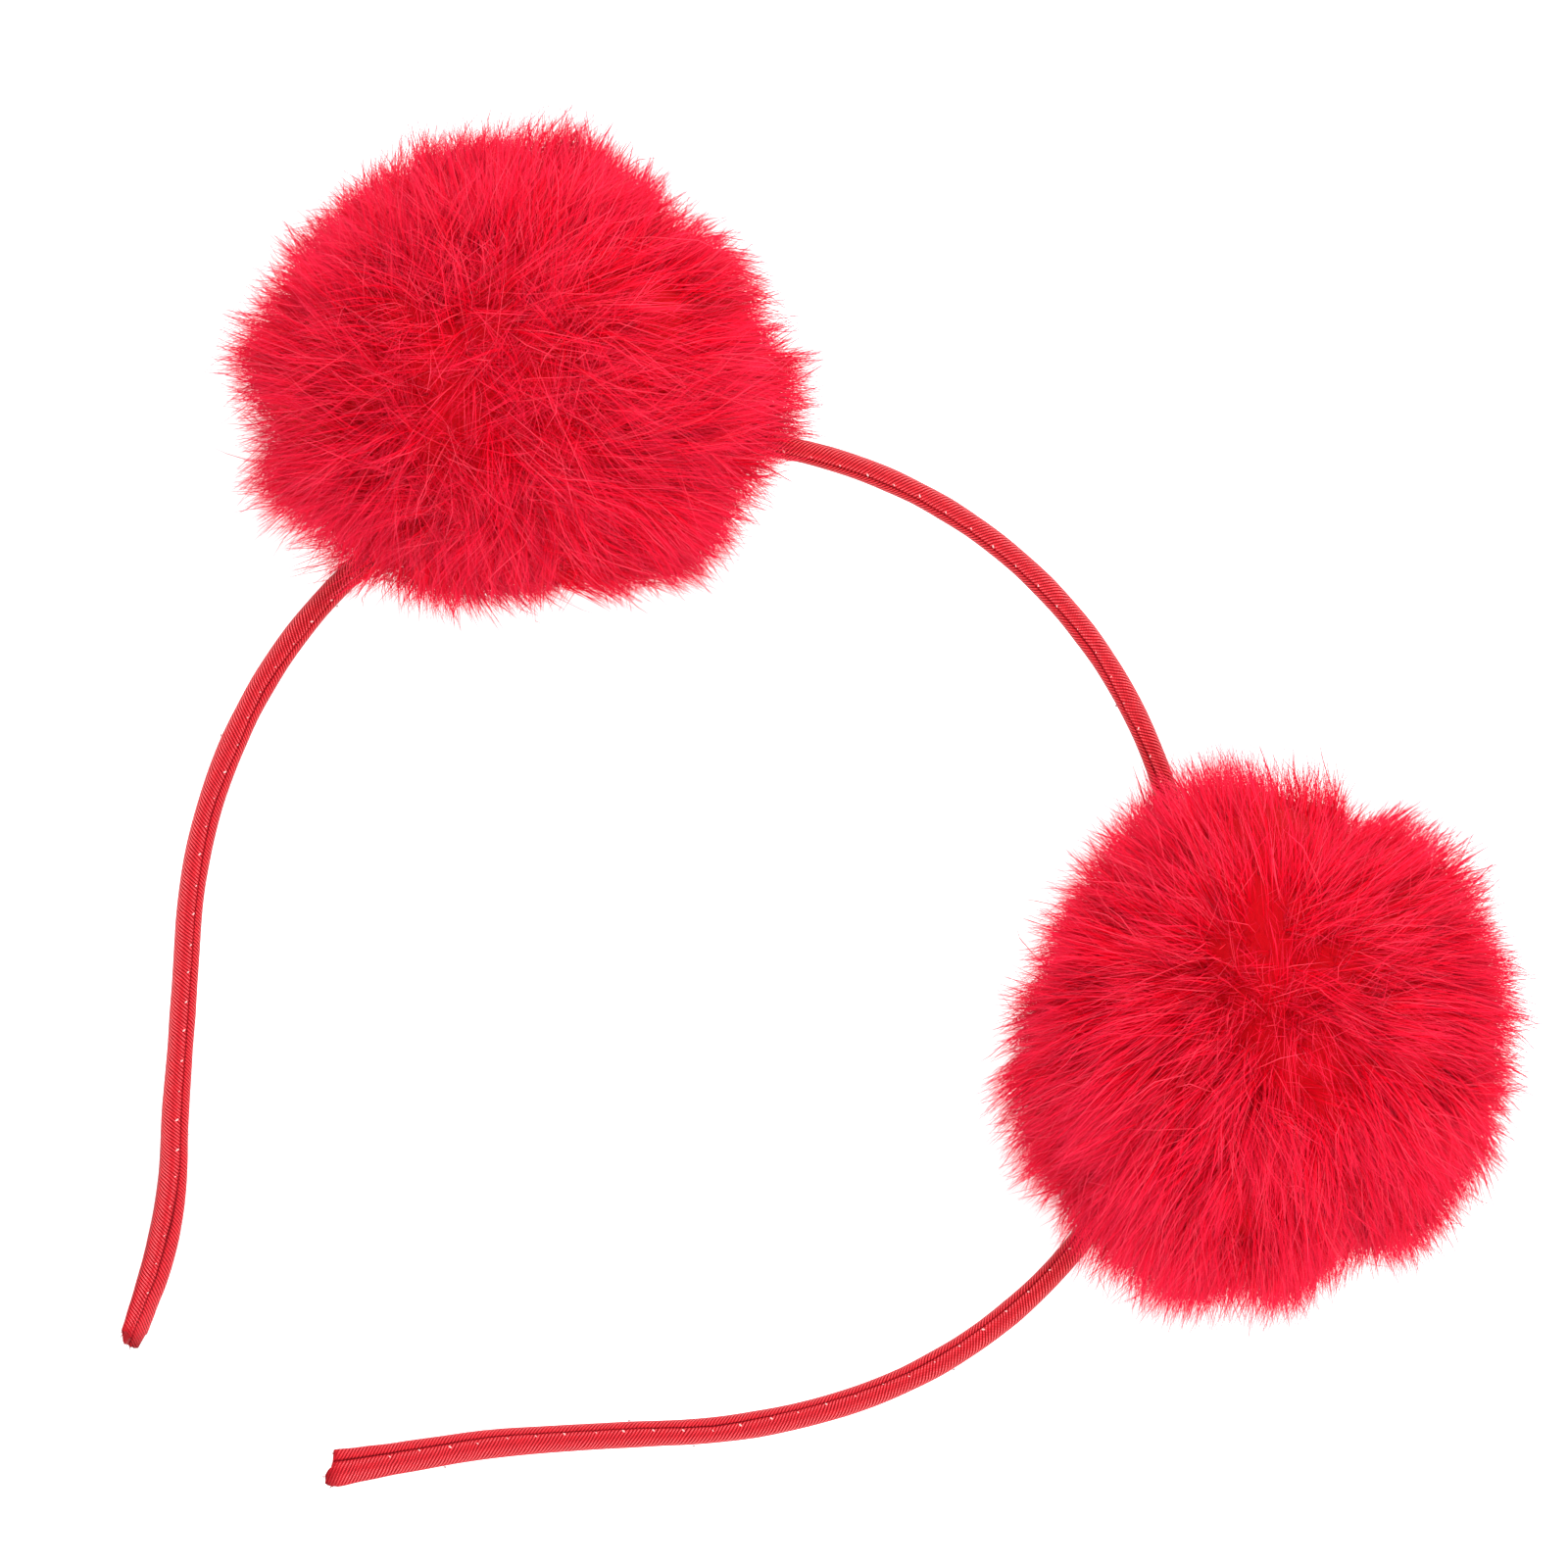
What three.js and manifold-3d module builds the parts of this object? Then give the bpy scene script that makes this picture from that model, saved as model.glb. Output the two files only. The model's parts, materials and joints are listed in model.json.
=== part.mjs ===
// Pompom headband: a thin hoop covered in satin that carries two balls of fur, lying on a flat surface.
// Millimetres and degrees. The surface is z = 0, the crown is towards +Y and the open ends towards -Y.
import * as THREE from "three";
import { mergeVertices } from "three/addons/utils/BufferGeometryUtils.js";
import Module from "manifold-3d";

// Driving dimensions of the hoop
const hoopRadius = 63.2; // centreline of the round part
const bandWidth = 3.05; // covered band, in the hoop's plane
const bandHeight = 3.6; // covered band, across the hoop's plane
const lapStep = 0.28; // thickness of the satin's folded edge, where it laps over itself
const lapAngle = 109; // degrees to that edge round the section, from the outer side over the top
const lapFold = 6; // degrees of the section that the fold takes
const fishtailDepth = 2.3; // ragged cut in the flattened ends

// Each leg runs from the crown: round by so many degrees, then over its lower length to the end. The bends
// share that length by their parts, and each has its turn towards the other leg and the steps it is made
// in. The end is twisted, in degrees, so that the outer side faces up.
const leftLeg = {
  side: -1,
  round: 99.8,
  lower: 86.6,
  twist: 52,
  bends: [
    { part: 35, turn: 28.6, steps: 6 },
    { part: 21, turn: -1.1, steps: 3 },
    { part: 7, turn: 3.4, steps: 1 },
    { part: 18, turn: -17.8, steps: 6 },
    { part: 5.6, turn: 0, steps: 3 },
  ],
};
const rightLeg = {
  side: 1,
  round: 84,
  lower: 105,
  twist: 4,
  bends: [
    { part: 40, turn: 37, steps: 8 },
    { part: 22, turn: 15, steps: 4 },
    { part: 20, turn: -2.1, steps: 3 },
    { part: 8, turn: -4.9, steps: 2 },
    { part: 15, turn: 0, steps: 6 },
  ],
};

// Driving dimensions of the pompoms
const pompomBearing = 59.5; // from the crown, on both sides
const backingRadius = 8.8; // ball that the fur grows from, seated on the band's outer side
const pileLength = 25.2; // fur, from the backing to the tips
const furPressed = 4; // how far the fur under each pompom is pressed by the surface
const lockCount = 80; // locks on each pompom
const clearance = 0.3; // between the fur and the band

// The cover along each leg, as shares of the leg's length, of bandWidth, of bandHeight and of its twist
const coverSections = [
  { along: 0, width: 1, height: 1, twist: 0 },
  { along: 0.45, width: 1, height: 1, twist: 0 },
  { along: 0.6, width: 1.1, height: 0.97, twist: 0 },
  { along: 0.84, width: 1.12, height: 0.94, twist: 0.1 },
  { along: 0.92, width: 1.26, height: 0.86, twist: 0.4 },
  { along: 0.96, width: 1.33, height: 0.72, twist: 0.65 },
  { along: 0.985, width: 1.45, height: 0.52, twist: 0.9 },
  { along: 1, width: 1.55, height: 0.38, twist: 1 },
];

// The ragged ends: across runs from the inner side, -1, to the outer side, 1.
// The reach is a share of fishtailDepth.
const leftFishtail = [
  { across: -1, reach: 0 },
  { across: -0.8, reach: 0.06 },
  { across: -0.58, reach: 0.25 },
  { across: -0.46, reach: 0.9 },
  { across: -0.35, reach: 1 },
  { across: 0.15, reach: 0.95 },
  { across: 1, reach: 0.2 },
];
const rightFishtail = [
  { across: -1, reach: 0 },
  { across: -0.6, reach: 0.04 },
  { across: -0.2, reach: 0.27 },
  { across: 0.1, reach: 0.63 },
  { across: 0.4, reach: 0.8 },
  { across: 0.7, reach: 0.83 },
  { across: 0.88, reach: 0.6 },
  { across: 1, reach: 0.2 },
];

// The raised side of the lap round the section, as shares of lapStep at shares of lapAngle
const lapRise = [
  { at: 0, rise: 0 },
  { at: 0.25, rise: 0 },
  { at: 0.6, rise: 0.5 },
  { at: 0.85, rise: 1 },
  { at: 1, rise: 1 },
];

// Reach of the locks round each pompom in the hoop's plane: bearing is from +X towards the crown's side,
// reach a share of the pompom's radius. The first reach is repeated a full turn later.
const leftOutline = [
  { bearing: 0, reach: 1.01 },
  { bearing: 20, reach: 1.01 },
  { bearing: 40, reach: 1.14 },
  { bearing: 60, reach: 1.02 },
  { bearing: 72, reach: 0.98 },
  { bearing: 85, reach: 0.905 },
  { bearing: 98, reach: 0.91 },
  { bearing: 120, reach: 0.985 },
  { bearing: 145, reach: 0.96 },
  { bearing: 160, reach: 0.965 },
  { bearing: 172, reach: 0.945 },
  { bearing: 190, reach: 0.99 },
  { bearing: 205, reach: 1.035 },
  { bearing: 220, reach: 1.07 },
  { bearing: 240, reach: 1.06 },
  { bearing: 252, reach: 1.04 },
  { bearing: 262, reach: 1 },
  { bearing: 270, reach: 1.01 },
  { bearing: 280, reach: 0.9 },
  { bearing: 300, reach: 0.85 },
  { bearing: 318, reach: 0.82 },
  { bearing: 328, reach: 0.78 },
  { bearing: 340, reach: 0.9 },
  { bearing: 360, reach: 1.01 },
];
const rightOutline = [
  { bearing: 0, reach: 0.995 },
  { bearing: 25, reach: 0.985 },
  { bearing: 42, reach: 1.005 },
  { bearing: 52, reach: 1 },
  { bearing: 64, reach: 1.01 },
  { bearing: 80, reach: 1.06 },
  { bearing: 98, reach: 1.075 },
  { bearing: 110, reach: 0.975 },
  { bearing: 122, reach: 1.07 },
  { bearing: 140, reach: 1.115 },
  { bearing: 152, reach: 1.06 },
  { bearing: 162, reach: 0.975 },
  { bearing: 180, reach: 0.935 },
  { bearing: 205, reach: 0.885 },
  { bearing: 220, reach: 0.91 },
  { bearing: 240, reach: 0.985 },
  { bearing: 250, reach: 0.995 },
  { bearing: 260, reach: 0.955 },
  { bearing: 270, reach: 1.045 },
  { bearing: 288, reach: 1.045 },
  { bearing: 305, reach: 1 },
  { bearing: 320, reach: 0.985 },
  { bearing: 338, reach: 0.88 },
  { bearing: 350, reach: 0.985 },
  { bearing: 360, reach: 0.995 },
];

// A lock of fur, from inside the packed fur to its tip: at is a share of its reach, width a share of the
// locks' spacing.
const standingLock = [
  { at: 0.6, width: 0 },
  { at: 0.78, width: 0.56 },
  { at: 1, width: 0 },
];
const pressedLock = [
  { at: 0.6, width: 0 },
  { at: 0.78, width: 0.54 },
  { at: 0.97, width: 0.66 },
  { at: 1, width: 0 },
];

// Shapes that the sizes above leave open
const sectionSides = 12; // corners round the band
const sectionSquareness = 2.5; // exponent of the rounded section: 2 is an ellipse
const arcStep = 5; // degrees of the hoop to a station
const lockSides = 3;
const packedDetail = 1; // times that each face of the packed fur's ball is split
const packedShare = 0.84; // of the locks' reach: the fur is packed solid inside this
const evenReach = 0.97; // share of the pompom's radius that the locks reach above and below the hoop's plane
const lockSpread = 0.05; // of the reach, up or down, from lock to lock
const roomShare = 0.3; // of the locks' spacing that a lock keeps its middle from the band
const lockLean = 0.16; // of the reach, sideways at the tip
const weld = 1e-4; // corners closer than this are one corner

const pompomRadius = backingRadius + pileLength;
const pompomDistance = hoopRadius + bandWidth / 2 + clearance + backingRadius;
const pompomHeight = pompomRadius - furPressed;

const rad = THREE.MathUtils.degToRad;

const satin = new THREE.MeshStandardMaterial({ color: 0xd9303c, roughness: 0.45, metalness: 0 });
const fur = new THREE.MeshStandardMaterial({ color: 0xe0142c, roughness: 0.85, metalness: 0 });

const wasm = await Module();
wasm.setup();

// A closed geometry as a solid that can be joined and cut
function solidFrom(geometry) {
  const bare = new THREE.BufferGeometry();
  bare.setAttribute("position", geometry.getAttribute("position"));
  bare.setIndex(geometry.index);
  const merged = mergeVertices(bare, weld);
  const corners = merged.index.array;
  const triVerts = [];
  for (let i = 0; i < corners.length; i += 3) {
    const [a, b, c] = corners.slice(i, i + 3);
    if (a !== b && b !== c && c !== a) triVerts.push(a, b, c);
  }
  const vertProperties = merged.getAttribute("position").array;
  return new wasm.Manifold(
    new wasm.Mesh({ numProp: 3, vertProperties, triVerts: new Uint32Array(triVerts) }),
  );
}

function geometryFrom(solid) {
  const { vertProperties, triVerts } = solid.getMesh();
  const geometry = new THREE.BufferGeometry();
  geometry.setAttribute("position", new THREE.BufferAttribute(vertProperties, 3));
  geometry.setIndex(new THREE.BufferAttribute(triVerts, 1));
  geometry.computeVertexNormals();
  return geometry;
}

// A table's row at any place between its rows, eased from one row to the next
function rowAt(table, column, place) {
  const after = table.findIndex((row) => row[column] >= place);
  if (after < 0) return table[table.length - 1];
  if (after === 0) return table[0];
  const [low, high] = [table[after - 1], table[after]];
  const share = THREE.MathUtils.smoothstep(place, low[column], high[column]);
  const row = {};
  for (const key of Object.keys(low)) row[key] = THREE.MathUtils.lerp(low[key], high[key], share);
  return row;
}

// The same draws every time
function seededDraws(seed) {
  let state = seed;
  return () => {
    state = (state + 0x6d2b79f5) | 0;
    let mixed = Math.imul(state ^ (state >>> 15), 1 | state);
    mixed = (mixed + Math.imul(mixed ^ (mixed >>> 7), 61 | mixed)) ^ mixed;
    return ((mixed ^ (mixed >>> 14)) >>> 0) / 4294967296;
  };
}

// Stations of one leg, from beside the crown to its end. The hoop's plane is XY, its centre the origin.
// The two stations beside the crown are half a step from it, so that a flat facet lies across the crown.
function legStations(leg) {
  const seatTurn = arcStep / 2;
  const parts = leg.bends.reduce((sum, bend) => sum + bend.part, 0);
  const bends = leg.bends.map((bend) => ({ ...bend, run: (leg.lower * bend.part) / parts }));
  const stretches = [
    { run: rad(seatTurn) * hoopRadius, turn: seatTurn, steps: 1 },
    {
      run: rad(leg.round - seatTurn) * hoopRadius,
      turn: leg.round - seatTurn,
      steps: Math.round((leg.round - seatTurn) / arcStep),
    },
    ...bends,
  ];
  const legLength = stretches.reduce((sum, stretch) => sum + stretch.run, 0);
  const stations = [];
  const point = new THREE.Vector3(0, hoopRadius, 0);
  let heading = 0;
  let along = 0;
  for (const { run, turn, steps } of stretches) {
    const bend = rad(turn) / steps;
    const arc = run / steps;
    const chord = bend === 0 ? arc : (arc * Math.sin(bend / 2)) / (bend / 2);
    for (let step = 0; step < steps; step += 1) {
      const middle = heading + bend / 2;
      point.x += leg.side * chord * Math.cos(middle);
      point.y -= chord * Math.sin(middle);
      heading += bend;
      along += arc;
      const forward = new THREE.Vector3(leg.side * Math.cos(heading), -Math.sin(heading), 0);
      const outward = new THREE.Vector3(leg.side * Math.sin(heading), Math.cos(heading), 0);
      const row = rowAt(coverSections, "along", along / legLength);
      stations.push({ point: point.clone(), forward, outward, ...row, twist: row.twist * leg.twist });
    }
  }
  return stations;
}

// Corners of the band's section: across is outwards, up is across the hoop's plane. The lap's edge is a pair
// of corners, one on the folded edge and one on the satin below it.
function sectionCorners(width, height, grow) {
  const rounded = (value) => Math.sign(value) * Math.abs(value) ** (2 / sectionSquareness);
  const corner = (angle, rise) => ({
    across: rounded(Math.cos(rad(angle))) * (width / 2 + grow + rise),
    up: rounded(Math.sin(rad(angle))) * (height / 2 + grow + rise),
  });
  const step = 360 / sectionSides;
  const corners = [];
  for (let side = 0; side < sectionSides; side += 1) {
    const angle = (side + 0.5) * step;
    if (Math.abs(angle - lapAngle) <= step / 2) {
      corners.push(corner(lapAngle, lapStep), corner(lapAngle + lapFold, 0));
    } else {
      const rise = angle < lapAngle ? rowAt(lapRise, "at", angle / lapAngle).rise * lapStep : 0;
      corners.push(corner(angle, rise));
    }
  }
  return corners;
}

// The covered band from end to end. grow makes it thicker all round, for the room that it needs.
function bandGeometry(grow) {
  const left = legStations(leftLeg).reverse();
  const right = legStations(rightLeg);
  const stations = [...left, ...right];
  const cuts = new Map([
    [left[0], leftFishtail],
    [right[right.length - 1], rightFishtail],
  ]);
  const points = [];
  for (const station of stations) {
    const corners = sectionCorners(station.width * bandWidth, station.height * bandHeight, grow);
    const [cos, sin] = [Math.cos(rad(station.twist)), Math.sin(rad(station.twist))];
    const halfWidth = Math.max(...corners.map((corner) => Math.abs(corner.across)));
    for (const { across, up } of corners) {
      const point = station.point.clone();
      point.addScaledVector(station.outward, across * cos - up * sin);
      point.z += across * sin + up * cos;
      if (cuts.has(station)) {
        const { reach } = rowAt(cuts.get(station), "across", across / halfWidth);
        point.addScaledVector(station.forward, reach * fishtailDepth);
      }
      points.push(point);
    }
  }
  const around = points.length / stations.length;
  const index = [];
  for (let i = 0; i < stations.length - 1; i += 1) {
    for (let j = 0; j < around; j += 1) {
      const next = (j + 1) % around;
      const [a, b] = [i * around + j, i * around + next];
      index.push(a, b, a + around, b, b + around, a + around);
    }
  }
  const capEnd = (first, flip) => {
    const ring = points.slice(first, first + around);
    const middle = ring.reduce((sum, point) => sum.add(point), new THREE.Vector3());
    points.push(middle.divideScalar(around));
    for (let j = 0; j < around; j += 1) {
      const [a, b] = [first + j, first + ((j + 1) % around)];
      index.push(points.length - 1, flip ? b : a, flip ? a : b);
    }
  };
  const lastRing = points.length - around;
  capEnd(0, true);
  capEnd(lastRing, false);
  return new THREE.BufferGeometry().setFromPoints(points).setIndex(index);
}

// The tilt, in radians, at which the hoop's lowest corner touches the surface while the pompoms carry
// the crown
function restingTilt(geometry, pompomY) {
  const position = geometry.getAttribute("position");
  const lowest = (tilt) => {
    let low = Infinity;
    for (let i = 0; i < position.count; i += 1) {
      const rise = (position.getY(i) - pompomY) * Math.sin(tilt) + position.getZ(i) * Math.cos(tilt);
      low = Math.min(low, pompomHeight + rise);
    }
    return low;
  };
  let [flat, steep] = [0, Math.PI / 4];
  for (let halving = 0; halving < 50; halving += 1) {
    const middle = (flat + steep) / 2;
    if (lowest(middle) > 0) flat = middle;
    else steep = middle;
  }
  return (flat + steep) / 2;
}

// One lock of fur that points along +Y from the pompom's centre, with its tip leaning towards +X
function lockGeometry(profile, reach, spacing, lean) {
  const outline = profile.map((row) => new THREE.Vector2(row.width * spacing, row.at * reach));
  const geometry = new THREE.LatheGeometry(outline, lockSides);
  const position = geometry.getAttribute("position");
  const start = profile[0].at;
  for (let i = 0; i < position.count; i += 1) {
    const grown = (position.getY(i) / reach - start) / (1 - start);
    position.setX(i, position.getX(i) + lean * reach * grown ** 2);
  }
  return geometry;
}

// Directions spread evenly over a ball, the first straight down
function spreadDirections(count) {
  const goldenTurn = Math.PI * (3 - Math.sqrt(5));
  return Array.from({ length: count }, (_, i) => {
    const z = -1 + (2 * i) / (count - 1);
    const flat = Math.sqrt(Math.max(0, 1 - z * z));
    return new THREE.Vector3(flat * Math.cos(i * goldenTurn), flat * Math.sin(i * goldenTurn), z);
  });
}

// How far the fur reaches in a direction: its outline's reach in the hoop's plane, evened out above and
// below that plane
function furReach(direction, outline, tilt) {
  const planeY = new THREE.Vector3(0, Math.cos(tilt), Math.sin(tilt));
  const planeZ = new THREE.Vector3(0, -Math.sin(tilt), Math.cos(tilt));
  const bearing = THREE.MathUtils.radToDeg(Math.atan2(direction.dot(planeY), direction.x));
  const inPlane = 1 - direction.dot(planeZ) ** 2;
  const { reach } = rowAt(outline, "bearing", (bearing + 360) % 360);
  return THREE.MathUtils.lerp(evenReach, reach, inPlane) * pompomRadius;
}

// The fur that is packed solid, following the reach of the locks
function packedFur(outline, tilt) {
  const ball = new THREE.IcosahedronGeometry(1, packedDetail);
  const position = ball.getAttribute("position");
  for (let i = 0; i < position.count; i += 1) {
    const direction = new THREE.Vector3().fromBufferAttribute(position, i).normalize();
    direction.multiplyScalar(packedShare * furReach(direction, outline, tilt));
    position.setXYZ(i, direction.x, direction.y, direction.z);
  }
  return ball;
}

// A pompom about its own centre, upright on the surface. band is the room that the band needs in it,
// bandPoints the band's centreline, both in the pompom's own frame.
function pompomGeometry(outline, tilt, band, bandPoints, seed) {
  const draw = seededDraws(seed);
  const packedRadius = packedShare * pompomRadius;
  const spacing = packedRadius * Math.sqrt((8 * Math.PI) / (Math.sqrt(3) * lockCount));
  const up = new THREE.Vector3(0, 1, 0);
  const bandRoom = bandWidth / 2 + clearance + roomShare * spacing;
  let body = solidFrom(packedFur(outline, tilt));
  for (const direction of spreadDirections(lockCount)) {
    const length = furReach(direction, outline, tilt) * (1 + lockSpread * (2 * draw() - 1));
    const pressed = -direction.z * length > pompomHeight;
    const lean = pressed ? 0 : lockLean * draw();
    const roll = new THREE.Quaternion().setFromAxisAngle(up, 2 * Math.PI * draw());
    const aim = new THREE.Quaternion().setFromUnitVectors(up, direction).multiply(roll);
    const nearBand = bandPoints.some((point) => {
      const along = point.dot(direction);
      const aside = point.clone().addScaledVector(direction, -along).length();
      return along > packedRadius && along < length + bandRoom && aside < bandRoom;
    });
    if (nearBand) continue;
    const shape = lockGeometry(pressed ? pressedLock : standingLock, length, spacing, lean);
    body = body.add(solidFrom(shape.applyQuaternion(aim)));
  }
  const floorSize = 4 * pompomRadius;
  const belowSurface = new THREE.BoxGeometry(floorSize, floorSize, floorSize);
  belowSurface.translate(0, 0, -pompomHeight - floorSize / 2);
  return geometryFrom(body.subtract(solidFrom(belowSurface)).subtract(band));
}

function satinHoop(geometry) {
  geometry.computeVertexNormals();
  const mesh = new THREE.Mesh(geometry, satin);
  mesh.name = "satin_hoop";
  return mesh;
}

function pompom(name, leg, outline, tilt, seed) {
  const bearing = rad(pompomBearing);
  const [x, y] = [leg.side * pompomDistance * Math.sin(bearing), pompomDistance * Math.cos(bearing)];
  const toPompom = new THREE.Matrix4()
    .makeRotationX(tilt)
    .multiply(new THREE.Matrix4().makeTranslation(-x, -y, 0));
  const band = solidFrom(bandGeometry(clearance).applyMatrix4(toPompom));
  const bandPoints = legStations(leg).map((station) => station.point.applyMatrix4(toPompom));
  const mesh = new THREE.Mesh(pompomGeometry(outline, tilt, band, bandPoints, seed), fur);
  mesh.name = name;
  mesh.position.set(x, y * Math.cos(tilt), pompomHeight);
  return mesh;
}

// The hoop leans from the pompoms down to its ends. The group's origin is under the middle of its box.
function pompomHeadband() {
  const hoop = bandGeometry(0);
  const pompomY = pompomDistance * Math.cos(rad(pompomBearing));
  const tilt = restingTilt(hoop, pompomY);
  const leaning = new THREE.Group();
  leaning.rotation.x = tilt;
  leaning.position.z = pompomHeight - pompomY * Math.sin(tilt);
  leaning.add(satinHoop(hoop));
  const lying = new THREE.Group();
  lying.add(
    leaning,
    pompom("pompom_left", leftLeg, leftOutline, tilt, 11),
    pompom("pompom_right", rightLeg, rightOutline, tilt, 23),
  );
  const box = new THREE.Box3().setFromObject(lying, true);
  const middle = box.getCenter(new THREE.Vector3());
  lying.position.set(-middle.x, -middle.y, 0);
  const whole = new THREE.Group();
  whole.add(lying);
  return whole;
}

const headband = pompomHeadband();

export default headband;
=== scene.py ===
import json
import math
import bpy
import numpy as np
from mathutils import Matrix, Vector


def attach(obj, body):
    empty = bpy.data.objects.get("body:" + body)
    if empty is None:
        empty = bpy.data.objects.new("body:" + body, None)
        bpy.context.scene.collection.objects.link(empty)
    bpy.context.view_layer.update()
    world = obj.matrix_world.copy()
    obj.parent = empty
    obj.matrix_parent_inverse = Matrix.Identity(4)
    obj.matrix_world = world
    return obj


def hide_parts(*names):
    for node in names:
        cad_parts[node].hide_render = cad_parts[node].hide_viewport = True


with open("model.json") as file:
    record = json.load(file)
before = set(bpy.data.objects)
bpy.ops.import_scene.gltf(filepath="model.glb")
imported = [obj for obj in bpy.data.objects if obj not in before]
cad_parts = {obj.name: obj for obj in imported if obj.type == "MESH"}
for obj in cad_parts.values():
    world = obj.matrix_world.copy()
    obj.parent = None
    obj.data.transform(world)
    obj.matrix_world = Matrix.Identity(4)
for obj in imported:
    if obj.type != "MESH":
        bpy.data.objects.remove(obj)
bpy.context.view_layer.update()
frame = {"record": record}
scene = bpy.context.scene
mm = 0.001

# Sizes here are millimetres and degrees in the hoop's own plane: x across, y towards the crown, z out of it.
# The plane leans from the pompoms down to the hoop's ends.
hoop = {
    "radius": 63.2,  # of the band's middle line round the crown
    "bandWidth": 3.05,  # in the hoop's plane
    "bandHeight": 3.6,  # across it
    "squareness": 2.5,  # of the band's section: 2 is an ellipse, and more is squarer
    "seatTurn": 2.5,  # half of the turn that the head seat's facet takes round the crown
    "seatCorner": 15,  # half of the turn that it takes round the section
}


# small tools
def unit(vectors):
    return vectors / np.maximum(np.linalg.norm(vectors, axis=-1, keepdims=True), 1e-9)


def easedAt(places, rows, column):
    # a table's value between its rows, eased from one row to the next; the first column is the place
    table = np.array(rows, float)
    at, value = table[:, 0], table[:, column]
    low = np.clip(np.searchsorted(at, places, side="left") - 1, 0, len(at) - 2)
    share = np.clip((places - at[low]) / (at[low + 1] - at[low]), 0, 1)
    share = share * share * (3 - 2 * share)
    return value[low] + (value[low + 1] - value[low]) * share


def bell(places, middle, spread):
    return np.exp(-(((places - middle) / spread) ** 2))


def toLinear(hexColour):
    parts = [int(hexColour[i : i + 2], 16) / 255 for i in (1, 3, 5)]
    linear = [c / 12.92 if c <= 0.04045 else ((c + 0.055) / 1.055) ** 2.4 for c in parts]
    return (*linear, 1)


def addNode(tree, kind, inputs={}, **settings):
    node = tree.nodes.new("ShaderNode" + kind)
    for name, value in settings.items():
        setattr(node, name, value)
    for socket, value in inputs.items():
        if isinstance(value, bpy.types.NodeSocket):
            tree.links.new(value, node.inputs[socket])
        else:
            node.inputs[socket].default_value = value
    return node


def newMaterial(name):
    material = bpy.data.materials.new(name)
    material.use_nodes = True
    material.node_tree.nodes.clear()
    return material, material.node_tree


def finishMaterial(tree, surface):
    addNode(tree, "OutputMaterial", {"Surface": surface})


def newPiece(name, points, corners, sizes, material, slot=None):
    # a mesh from flat arrays: points in millimetres, corners face by face, and each face's number of corners
    mesh = bpy.data.meshes.new(name)
    mesh.vertices.add(len(points))
    mesh.vertices.foreach_set("co", (np.asarray(points) * mm).astype(np.float32).ravel())
    mesh.loops.add(len(corners))
    mesh.loops.foreach_set("vertex_index", np.asarray(corners, np.int32))
    mesh.polygons.add(len(sizes))
    starts = np.concatenate([[0], np.cumsum(sizes)[:-1]])
    mesh.polygons.foreach_set("loop_start", starts.astype(np.int32))
    mesh.polygons.foreach_set("use_smooth", np.ones(len(sizes), bool))
    mesh.update(calc_edges=True)
    mesh.materials.append(material)
    piece = bpy.data.objects.new(name, mesh)
    scene.collection.objects.link(piece)
    if slot:
        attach(piece, "root")
    return piece


def setAttribute(piece, name, kind, values):
    field = {"FLOAT_VECTOR": "vector", "FLOAT_COLOR": "color", "FLOAT": "value"}[kind]
    attribute = piece.data.attributes.new(name, kind, "POINT")
    attribute.data.foreach_set(field, np.asarray(values, np.float32).ravel())


# where the hoop's plane is: the head seat lies on a flat facet inside the crown
seat = next(m for m in frame["record"]["mounts"] if m["name"] == "head_seat")
tilt = math.atan2(-seat["axis"][2], -seat["axis"][1])
planeAxes = np.array([
    [1, 0, 0],
    [0, math.cos(tilt), math.sin(tilt)],
    [0, -math.sin(tilt), math.cos(tilt)],
])
facetDepth = math.cos(math.radians(hoop["seatCorner"])) ** (2 / hoop["squareness"]) * hoop["bandWidth"] / 2
seatY = (hoop["radius"] - facetDepth) * math.cos(math.radians(hoop["seatTurn"]))
hoopCentre = np.array(seat["pos_m"]) / mm - seatY * planeAxes[1]


def toRow(points):
    return hoopCentre + np.asarray(points, float) @ planeAxes


# camera: square to the hoop's plane, turned as the photo is
view = {
    "distance": 1500,
    "pictureWidth": 200,  # what the photo's 1600 pixels span in the hoop's plane
    "pictureCentre": (-3.9, 22.2),
    "turn": 41.8,  # from the photo's right to the plane's x
    "sensor": 36,
    "clip": (0.1, 10),  # metres
}


def makeCamera():
    turn = math.radians(view["turn"])
    right = np.array([math.cos(turn), math.sin(turn), 0]) @ planeAxes
    up = np.array([-math.sin(turn), math.cos(turn), 0]) @ planeAxes
    back = planeAxes[2]
    eye = (toRow([*view["pictureCentre"], 0]) + back * view["distance"]) * mm
    data = bpy.data.cameras.new("camera")
    data.sensor_width = view["sensor"]
    data.lens = view["sensor"] * view["distance"] / view["pictureWidth"]
    data.clip_start, data.clip_end = view["clip"]
    camera = bpy.data.objects.new("camera", data)
    rows = np.stack([right, up, back, eye], 1).tolist()
    camera.matrix_world = Matrix([*rows, [0, 0, 0, 1]])
    scene.collection.objects.link(camera)
    scene.camera = camera


makeCamera()
print("camera placed")

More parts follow.
